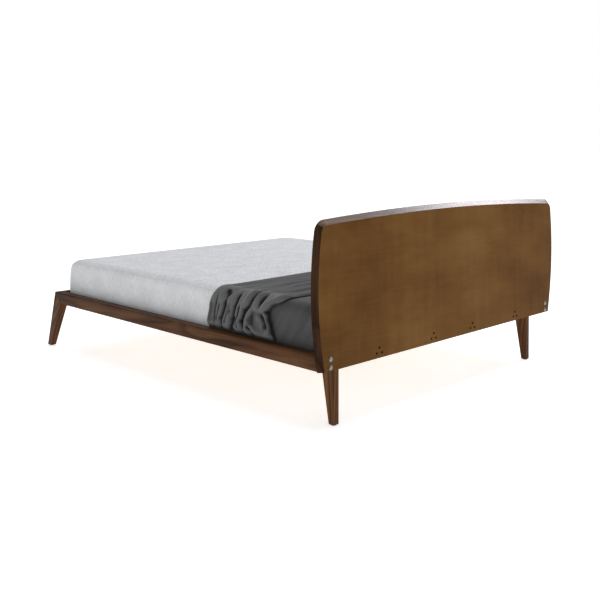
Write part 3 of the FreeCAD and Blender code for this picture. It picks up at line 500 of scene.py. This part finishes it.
def eased_foot(points):
    """Lets the mattress fall away at its free foot end, which is rounder than its other edges."""
    near = np.clip(1 - (points[:, 1] - MATTRESS_LOW.y) / FOOT_REACH, 0, 1)
    height = np.clip((points[:, 2] - RAIL_TOP) / (MATTRESS_HIGH.z - RAIL_TOP), 0, 1)
    points[:, 2] -= FOOT_DROP * near**2 * height
    points[:, 1] += FOOT_PULL * smooth(near) * height**3
    return points


def mattress():
    """A foam mattress in a knitted cover: soft shoulders, a slight crown and an uneven top."""
    low, high = MATTRESS_LOW, MATTRESS_HIGH
    points, faces = rounded_box(low, high, SHOULDER, MATTRESS_STEP)
    middle, half = (low + high) / 2, (high - low) / 2
    height = np.clip((points[:, 2] - middle.z) / half.z, 0, 1)
    x = (points[:, 0] - middle.x) / half.x
    y = (points[:, 1] - middle.y) / half.y
    lift = CROWN * (1 - x**2) * (1 - y**2)
    rolling = np.array([noise.noise(Vector((a * 2.6, b * 2.6, 0.3))) for a, b, _ in points])
    points[:, 2] += height * (lift + ROLL * rolling * (1 - x**4) * (1 - y**4) - SINK)
    points = eased_foot(points)
    piece = new_piece("mattress_cover", points, faces, knit())
    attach(piece, BODY)
    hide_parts("mattress")
    return piece


def seam_cord(material):
    """The taped seam that joins the mattress's top panel to its border."""
    left, right = MATTRESS_LOW.x + SHOULDER, MATTRESS_HIGH.x - SHOULDER
    foot, head = MATTRESS_LOW.y + SHOULDER, MATTRESS_HIGH.y - SHOULDER
    z = MATTRESS_HIGH.z - SHOULDER * SEAM_DROP
    reach = SHOULDER * math.sqrt(1 - (1 - SEAM_DROP) ** 2)
    ring = []
    for corner, (x, y) in enumerate(((right, head), (left, head), (left, foot), (right, foot))):
        for step in range(CORNER_STEPS + 1):
            angle = (corner + step / CORNER_STEPS) * QUARTER
            ring.append((x + reach * math.cos(angle), y + reach * math.sin(angle), z))
    ring = [
        Vector(start).lerp(Vector(end), along)
        for start, end in zip(ring, ring[1:] + ring[:1])
        for along in steps(0, 1, SEAM_STEP / max(math.dist(start, end), SEAM_STEP))[:-1]
    ]
    ring = eased_foot(np.array(ring))
    curve = bpy.data.curves.new("mattress_seam", "CURVE")
    curve.dimensions = "3D"
    curve.bevel_depth = SEAM_RADIUS
    curve.bevel_resolution = 2
    line = curve.splines.new("POLY")
    line.points.add(len(ring) - 1)
    for point, place in zip(line.points, ring):
        point.co = (*place, 1)
    line.use_cyclic_u = True
    curve.materials.append(material)
    piece = bpy.data.objects.new("mattress_seam", curve)
    bpy.context.scene.collection.objects.link(piece)
    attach(piece, BODY)


def fitted_sheet(under):
    """The dark sheet stretched over the head end of the mattress, cut from its shape."""
    mesh = under.data
    points = np.array([v.co for v in mesh.vertices])
    normals = np.array([v.normal for v in mesh.vertices])
    foot = min(points[:, 1], key=lambda y: abs(y - SHEET_FOOT_Y))
    keep = (points[:, 1] > foot - 1e-5) & (points[:, 2] > HEM_Z - SHEET_HEM_DROP)
    number = {old: new for new, old in enumerate(np.flatnonzero(keep))}
    faces = [
        [number[v] for v in polygon.vertices]
        for polygon in mesh.polygons
        if all(keep[v] for v in polygon.vertices)
    ]
    p, n = points[keep], normals[keep]
    low, high = MATTRESS_LOW, MATTRESS_HIGH
    down = np.clip((high.z - p[:, 2]) / (high.z - low.z), 0, 1)
    pull = np.array(
        [noise.noise(Vector(((y + z * 0.9) * 15.0, x * 0.5, z * 2.0))) for x, y, z in p]
    )
    outward = np.abs(p[:, 0])
    corner = bell(outward, high.x, 0.1) * bell(p[:, 1], high.y, 0.16)
    gather = np.abs(np.sin((p[:, 1] - outward) * 150.0)) * corner * down
    lines = SHEET_LINES * (pull + 0.4) * np.minimum(down * 4, 1)
    lift = SHEET_GAP + lines + SHEET_GATHERS * gather
    p = p + n * lift[:, None]
    tucked = p[:, 2] < TUCK_Z
    p[tucked, 0] = np.clip(p[tucked, 0], -TUCK_X, TUCK_X)
    piece = new_piece("fitted_sheet", p, faces, cotton())
    thicken(piece, SHEET_THICKNESS)
    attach(piece, BODY)
    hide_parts("charcoal_sheet")


def thicken(piece, thickness):
    solid = piece.modifiers.new("Thickness", "SOLIDIFY")
    solid.thickness = thickness
    solid.offset = 1.0
    soft = piece.modifiers.new("Soft", "SUBSURF")
    soft.levels = soft.render_levels = 1


# Creases of the throw: depth, width, and a line of points. Each point says how far it lies past
# the start of the mattress shoulder (down its side, or back across its top) and how far along Y.
SIDE_CREASES = (
    (0.008, 0.007, ((0.04, 0.460), (0.14, 0.430), (0.28, 0.395))),
    (0.010, 0.008, ((0.08, 0.475), (0.17, 0.440), (0.28, 0.420))),
    (0.017, 0.010, ((0.03, 0.520), (0.10, 0.500), (0.17, 0.470), (0.28, 0.450))),
    (0.020, 0.009, ((0.04, 0.480), (0.055, 0.555))),
    (0.017, 0.010, ((0.03, 0.605), (0.12, 0.570), (0.26, 0.515))),
    (0.022, 0.012, ((0.13, 0.580), (0.20, 0.555), (0.29, 0.545))),
    (0.012, 0.009, ((0.07, 0.620), (0.16, 0.590), (0.22, 0.600))),
    (
        0.030,
        0.011,
        ((0.01, 0.715), (0.07, 0.685), (0.11, 0.650), (0.16, 0.628), (0.29, 0.645)),
    ),
    (0.022, 0.011, ((0.02, 0.775), (0.09, 0.737))),
    (0.012, 0.012, ((0.09, 0.765), (0.19, 0.800))),
    (0.014, 0.009, ((0.16, 0.660), (0.28, 0.725))),
)
TOP_CREASES = (
    (
        0.014,
        0.013,
        ((0.06, 0.795), (-0.10, 0.820), (-0.50, 0.838), (-1.00, 0.825), (-1.60, 0.800)),
    ),
    (0.013, 0.013, ((0.00, 0.755), (-0.20, 0.728), (-0.60, 0.742), (-1.30, 0.700))),
    (0.008, 0.014, ((-0.05, 0.660), (-0.45, 0.640), (-0.95, 0.650))),
    (0.010, 0.014, ((-0.40, 0.585), (-0.90, 0.612), (-1.30, 0.600), (-1.72, 0.640))),
    (0.007, 0.013, ((0.00, 0.568), (-0.30, 0.548), (-0.75, 0.535))),
    (0.010, 0.013, ((-0.70, 0.495), (-1.25, 0.520), (-1.76, 0.545))),
)
SIDE_TAPER, TOP_TAPER = 0.035, 0.3  # how far a crease takes to fade at its ends
FAR_SIDE_Y = 1.29  # the far side has the same creases in reverse: its Y and theirs add up to this
CREST = 0.36  # the height of the ridges beside a crease, as a share of its depth
CREST_AT, CREST_WIDTH = 2.3, 1.5  # in widths of the crease


def distance(a, b, line):
    """How far each point (a, b) lies from a line of straight pieces, and from the line's ends."""
    lengths = [math.dist(start, end) for start, end in zip(line, line[1:])]
    nearest, place = np.full(a.shape, np.inf), np.zeros(a.shape)
    for number, ((a0, b0), (a1, b1)) in enumerate(zip(line, line[1:])):
        da, db = a1 - a0, b1 - b0
        along = np.clip(((a - a0) * da + (b - b0) * db) / lengths[number] ** 2, 0, 1)
        away = np.hypot(a - a0 - along * da, b - b0 - along * db)
        run = sum(lengths[:number]) + along * lengths[number]
        place = np.where(away < nearest, np.minimum(run, sum(lengths) - run), place)
        nearest = np.minimum(nearest, away)
    return nearest, place


def creased(a, b, creases, taper):
    """Narrow valleys along the creases, each between two rounded ridges, that fade at the ends."""
    lift = np.zeros_like(a)
    for depth, width, line in creases:
        away, from_end = distance(a, b, line)
        u = away / width
        shape = CREST * bell(u, CREST_AT, CREST_WIDTH) - bell(u, 0, 1)
        lift += depth * shape * smooth(from_end / taper)
    return lift


# Where the throw's hems run on its near side: how far past the shoulder's start, and along Y.
FOOT_HEM = (
    (0.0, 0.445),
    (0.02, 0.428),
    (0.055, 0.412),
    (0.10, 0.384),
    (0.15, 0.368),
    (0.19, 0.352),
)
HEAD_HEM = (
    (0.0, 0.916),
    (0.04, 0.880),
    (0.06, 0.835),
    (0.09, 0.800),
    (0.13, 0.803),
    (0.22, 0.835),
)
FAR_FOOT, FAR_HEAD = 0.5, 0.6  # how much of that the hems stray on the far side
FOOT_WAVE, HEAD_WAVE = 0.010, 0.014  # how far the hems wave across the top
RUCKLE = 0.0055
HEAD_ROLL = 0.010  # height of the roll along the head hem
FOOT_ROLL = 0.009  # height of the roll where the foot hem turns over the shoulder
TOP_LOFT = 0.005  # how far the cloth stands off the mattress's top
SIDE_LOFT = 0.008  # how much further it stands off the sides
BELLY = 0.010  # how far the sides swell halfway down


def hem(down, line, near, far_share):
    """Where a hem runs along Y. On the far side it strays only far_share as much."""
    start = line[0][1]
    here = np.interp(down, [d for d, _ in line], [y for _, y in line])
    return np.where(near, here, start + far_share * (here - start))


def ruckles(s, y):
    """Small uneven ruckles of the cloth, long across the bed and short along it."""

    def height(a, b):
        coarse = noise.noise(Vector((a * 3.2, b * 24, 0.5)))
        fine = noise.noise(Vector((a * 8, b * 48, 4)))
        return coarse + 0.4 * fine

    return np.array([height(a, b) for a, b in zip(s.ravel(), y.ravel())]).reshape(s.shape)


def throw_mesh():
    """The throw's grid before it settles: wrapped over the mattress, with its main folds.

    s runs across the bed over both sides of the mattress, and t from the foot hem to the head
    hem. v says how far down its side each point lies, from 0 at the shoulder's start to 1.
    """
    top = MATTRESS_HIGH.z
    flat_half = MATTRESS_HIGH.x - SHOULDER
    arc = SHOULDER * QUARTER
    side = top - SHOULDER - HEM_Z
    reach = flat_half + arc + side
    s = steps(-reach, reach, THROW_STEP_ACROSS)
    t = steps(0.0, 1.0, THROW_STEP_ALONG)
    s, t = np.meshgrid(s, t, indexing="ij")
    near = s > 0
    sign = np.sign(s)
    past = np.abs(s) - flat_half
    w = np.maximum(past, 0)
    v = w / (arc + side)
    angle = np.clip(w / SHOULDER, 0, QUARTER)
    drop = np.maximum(w - arc, 0)
    x = np.where(w > 0, flat_half + SHOULDER * np.sin(angle), np.abs(s)) * sign
    z = top - SHOULDER * (1 - np.cos(angle)) - drop
    normal_x = np.sin(angle) * sign
    normal_z = np.cos(angle)

    # Both hems wave a little across the top.
    inward = np.clip(s / flat_half, -1, 1)
    foot = hem(w, FOOT_HEM, near, FAR_FOOT) + FOOT_WAVE * np.sin((inward - 1) * 3.1)
    head = hem(w, HEAD_HEM, near, FAR_HEAD) + HEAD_WAVE * np.sin((1 - inward) * 3.2)
    y = foot + (head - foot) * t

    lift = creased(past, np.where(near, y, FAR_SIDE_Y - y), SIDE_CREASES, SIDE_TAPER)
    lift += creased(s - flat_half, y, TOP_CREASES, TOP_TAPER)
    lift += RUCKLE * ruckles(s, y)
    lift += HEAD_ROLL * bell(t, 0.93, 0.045)
    lift += FOOT_ROLL * bell(v, 0.30, 0.16) * (v > 0) * smooth((0.22 - t) / 0.22)
    # The cloth stands off the mattress, but closes on it at both hems and at the rail.
    base = TOP_LOFT + SIDE_LOFT * smooth(v / 0.15)
    closed = smooth((1.0 - t) / 0.035) * smooth((t + 0.012) / 0.03)
    free = smooth((z - RAIL_TOP - 0.002) / 0.03)
    out = THROW_GAP + np.maximum(lift + base, 0.0) * free * closed
    belly = BELLY * np.sin(np.clip(v, 0, 1) * math.pi) * free * (v > 0)
    x = x + normal_x * (out + belly)
    z = z + normal_z * out
    return np.stack([x, y, z], -1), v


def blurred(grid, reach):
    """The grid with each point moved to the mean of its neighbourhood, a few times over."""
    for _ in range(reach):
        padded = np.pad(grid, ((1, 1), (1, 1), (0, 0)), mode="edge")
        grid = (
            padded[:-2, 1:-1] + padded[2:, 1:-1] + padded[1:-1, :-2] + padded[1:-1, 2:] + 2 * grid
        ) / 6
    return grid


def soften(mesh, rows, columns):
    """Takes the grid's steps out of the folds, and leaves the hems where they are."""
    points = np.array([v.co for v in mesh.vertices]).reshape(rows, columns, 3)
    points[1:-1, 1:-1] = blurred(points, 1)[1:-1, 1:-1]
    mesh.vertices.foreach_set("co", points.astype(np.float32).ravel())
    mesh.update()


FINE_FOLD, BROAD_FOLD = 0.0010, 0.006  # how deep a deep fold is, measured near and wide
FOLD_GAIN = 0.28
HEM_SHADOW = (0.8, 1.0)  # the last two rows, which draw a thin shadow along the head hem


def paint_fold_shade(mesh, rows, columns):
    """Stores how far each point lies in a fold, for the painted shade in the cloth's folds and the
    painted highlight on its ridges.
    """
    points = np.array([v.co for v in mesh.vertices]).reshape(rows, columns, 3)
    normals = np.array([v.normal for v in mesh.vertices]).reshape(rows, columns, 3)
    fine = ((blurred(points, 3) - points) * normals).sum(-1) / FINE_FOLD
    broad = ((blurred(points, 16) - points) * normals).sum(-1) / BROAD_FOLD
    # Painted shade: the deeper a point lies in a fold, the darker it is painted; it is weaker
    # close to the rail.
    fold_shade = np.clip(0.5 + FOLD_GAIN * (fine + broad), 0, 1)
    fold_shade *= 0.5 + 0.5 * smooth((points[:, :, 2] - RAIL_TOP) / 0.03)
    fold_shade[:, -2:] = np.maximum(fold_shade[:, -2:], HEM_SHADOW)
    attribute = mesh.attributes.new("fold_shade", "FLOAT", "POINT")
    attribute.data.foreach_set("value", fold_shade.ravel().astype(np.float32))


def grid_faces(rows, columns):
    return [
        [a * columns + b, (a + 1) * columns + b, (a + 1) * columns + b + 1, a * columns + b + 1]
        for a in range(rows - 1)
        for b in range(columns - 1)
    ]


SETTLE_FRAMES = 12
PIN_START, PIN_FADE = 0.86, 0.08  # how far down its side the throw starts to be held fast
HOLD = 0.25  # how firmly the rest of it keeps its folds
BULGE = 0.05  # how far the throw may stand out past the tuck, above the rail


def settle(piece, colliders, pinned):
    """Runs the cloth on its colliders and keeps the mesh it ends with."""
    scene = bpy.context.scene
    for other in colliders:
        other.modifiers.new("Collision", "COLLISION")
        other.collision.thickness_outer = 0.004
        other.collision.cloth_friction = 25.0
    group = piece.vertex_groups.new(name="pins")
    for number, weight in enumerate(pinned):
        if weight > 0:
            group.add([number], float(weight), "REPLACE")
    cloth = piece.modifiers.new("Cloth", "CLOTH")
    how = cloth.settings
    how.quality = 5
    how.mass = 0.25
    how.air_damping = 2.0
    how.tension_stiffness = 18.0
    how.compression_stiffness = 18.0
    how.shear_stiffness = 8.0
    how.bending_stiffness = 0.25
    how.vertex_group_mass = "pins"
    how.pin_stiffness = 1.0
    cloth.collision_settings.distance_min = 0.002
    cloth.collision_settings.collision_quality = 2
    cloth.point_cache.frame_start = 1
    cloth.point_cache.frame_end = SETTLE_FRAMES
    for number in range(1, SETTLE_FRAMES + 1):
        scene.frame_set(number)
    graph = bpy.context.evaluated_depsgraph_get()
    settled = bpy.data.meshes.new_from_object(piece.evaluated_get(graph))
    piece.modifiers.clear()
    piece.vertex_groups.clear()
    piece.data = settled
    for other in colliders:
        other.modifiers.remove(other.modifiers["Collision"])
    scene.frame_set(1)


def throw(colliders):
    """The rucked throw, laid over the mattress and the sheet and tucked in at both sides."""
    points, v = throw_mesh()
    rows, columns = points.shape[:2]
    faces = grid_faces(rows, columns)
    piece = new_piece("throw", points.reshape(-1, 3), faces, brushed_throw())
    pinned = np.maximum(smooth((v.ravel() - PIN_START) / PIN_FADE), HOLD)
    settle(piece, colliders, pinned)
    soften(piece.data, rows, columns)
    paint_fold_shade(piece.data, rows, columns)
    for vertex in piece.data.vertices:
        place = vertex.co
        limit = TUCK_X if place.z < TUCK_Z else TUCK_X + BULGE
        place.x = max(-limit, min(limit, place.x))
    thicken(piece, THROW_THICKNESS)
    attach(piece, BODY)
    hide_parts("charcoal_throw")


# ---------------------------------------------------------------- studio


FLOOR_HALF = 40.0
FLOOR_Z = -0.0006
WHITE = (1, 1, 1, 1)


def studio_floor():
    signs = ((-1, -1), (1, -1), (1, 1), (-1, 1))
    corners = [(x * FLOOR_HALF, y * FLOOR_HALF, FLOOR_Z) for x, y in signs]
    g = Graph("studio_floor")
    mottle = g.noise(g.place(), 1.4, 3.0)
    colour = g.grey(mottle, [(0.0, 0.83), (1.0, 0.86)])
    g.surface(Base_Color=colour, Roughness=0.9, Specular_IOR_Level=0.1)
    g.surface(Emission_Color=WHITE, Emission_Strength=0.6)
    new_piece("studio_floor", corners, [[0, 1, 2, 3]], g.material, rounded=False)


def aimed(lamp, direction):
    """Puts a lamp into the scene, pointing in a direction."""
    holder = bpy.data.objects.new(lamp.name, lamp)
    bpy.context.scene.collection.objects.link(holder)
    holder.rotation_euler = direction.to_track_quat("-Z", "Y").to_euler()
    return holder


def softbox(name, place, target, size, power, tint=(1, 1, 1)):
    lamp = bpy.data.lights.new(name, "AREA")
    lamp.shape = "RECTANGLE"
    lamp.size, lamp.size_y = size
    lamp.energy = power
    lamp.color = tint
    holder = aimed(lamp, Vector(target) - Vector(place))
    holder.location = place
    holder.visible_camera = False


def background(tree, strength, colour):
    shader = tree.nodes.new("ShaderNodeBackground")
    shader.inputs["Strength"].default_value = strength
    shader.inputs["Color"].default_value = colour
    return shader


def studio_light():
    """A white backdrop that lights the bed only softly, a broad sun and three softboxes."""
    world = bpy.data.worlds.new("studio")
    bpy.context.scene.world = world
    world.use_nodes = True
    tree = world.node_tree
    tree.nodes.clear()
    seen = background(tree, 1.0, WHITE)
    dim = background(tree, 0.42, (0.96, 0.98, 1.0, 1))
    path = tree.nodes.new("ShaderNodeLightPath")
    mix = tree.nodes.new("ShaderNodeMixShader")
    out = tree.nodes.new("ShaderNodeOutputWorld")
    tree.links.new(path.outputs["Is Camera Ray"], mix.inputs[0])
    tree.links.new(dim.outputs[0], mix.inputs[1])
    tree.links.new(seen.outputs[0], mix.inputs[2])
    tree.links.new(mix.outputs[0], out.inputs[0])
    sun = bpy.data.lights.new("overhead", "SUN")
    sun.energy = 1.25
    sun.angle = math.radians(70)
    aimed(sun, Vector((0.35, 0.25, -1.0)))
    softbox("strip", (-3.6, 1.15, 3.1), (-0.2, 1.1, 0.9), (1.5, 1.3), 66, (0.97, 0.96, 1.05))
    softbox("fill", (3.4, 5.0, 2.6), (0, 0.6, 0.4), (3.5, 2.5), 24)
    softbox("back", (0.3, 3.1, 1.2), (0.2, 1.2, 0.6), (0.9, 0.6), 2.6)
    bpy.context.scene.view_settings.view_transform = "Standard"


def camera():
    """Looks at the bed from behind the right end of its headboard."""
    data = bpy.data.cameras.new("camera")
    data.lens = 50.8
    data.sensor_width = 36.0
    data.shift_y = -0.2337
    holder = bpy.data.objects.new("camera", data)
    bpy.context.scene.collection.objects.link(holder)
    holder.location = (3.5606, 3.6487, 1.2516)
    holder.rotation_euler = (math.radians(88.89), 0.0, math.radians(135.164))
    bpy.context.scene.camera = holder


finish_wood()
finish_metal()
cover = mattress()
seam_cord(cover.data.materials[0])
fitted_sheet(cover)
throw([cover])
studio_floor()
studio_light()
camera()
